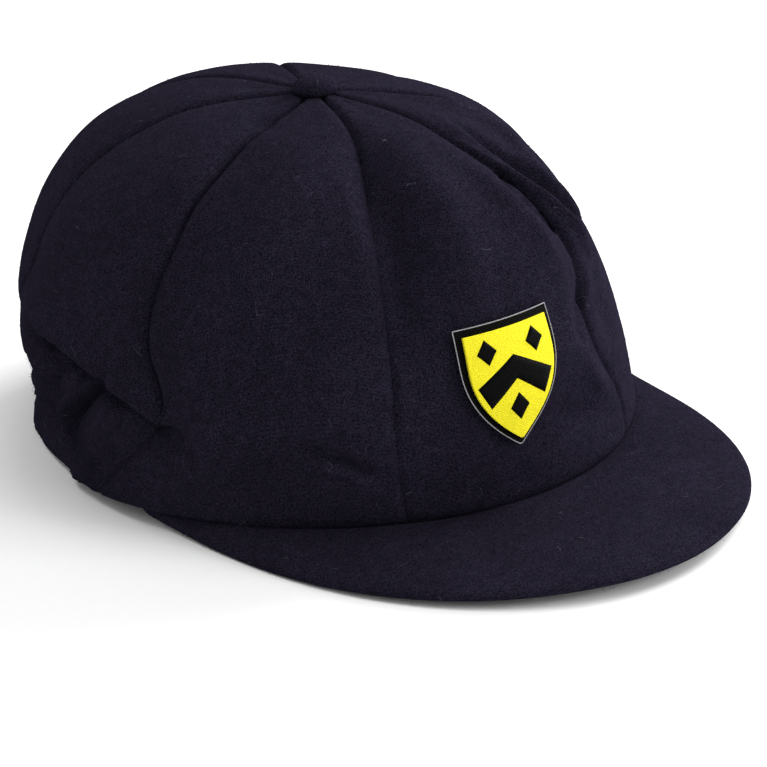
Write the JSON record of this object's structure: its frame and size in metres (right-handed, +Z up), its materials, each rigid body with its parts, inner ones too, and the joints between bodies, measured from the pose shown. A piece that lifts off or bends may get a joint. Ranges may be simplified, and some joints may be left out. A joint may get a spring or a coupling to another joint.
{
  "type": "cricket cap",
  "caption": "Baggy cloth cricket cap: puffed panels meet under a covered button, with a short curved peak and a plain shield badge at the front.",
  "frame": {"origin": "centre of the footprint, on the surface that the cap rests on", "axes": "+X to the wearer's left, -Y out over the peak, +Z up to the button"},
  "size_m": [0.1786, 0.2466, 0.1104],
  "materials": {
    "crown_cloth": "matt, felted wool, dark navy",
    "peak_cloth": "matt, felted wool, dark navy",
    "button_cloth": "matt, felted wool, dark navy",
    "badge_border": "satin embroidery, black",
    "badge_field": "satin embroidery, yellow"
  },
  "bodies": {
    "root": {"panel_front": "crown_cloth", "panel_front_left": "crown_cloth", "panel_side_left": "crown_cloth", "panel_rear_left": "crown_cloth", "panel_back": "crown_cloth", "panel_rear_right": "crown_cloth", "panel_side_right": "crown_cloth", "panel_front_right": "crown_cloth", "peak": "peak_cloth", "button": "button_cloth", "badge_patch": "badge_border", "badge_field": "badge_field"}
  },
  "joints": []
}
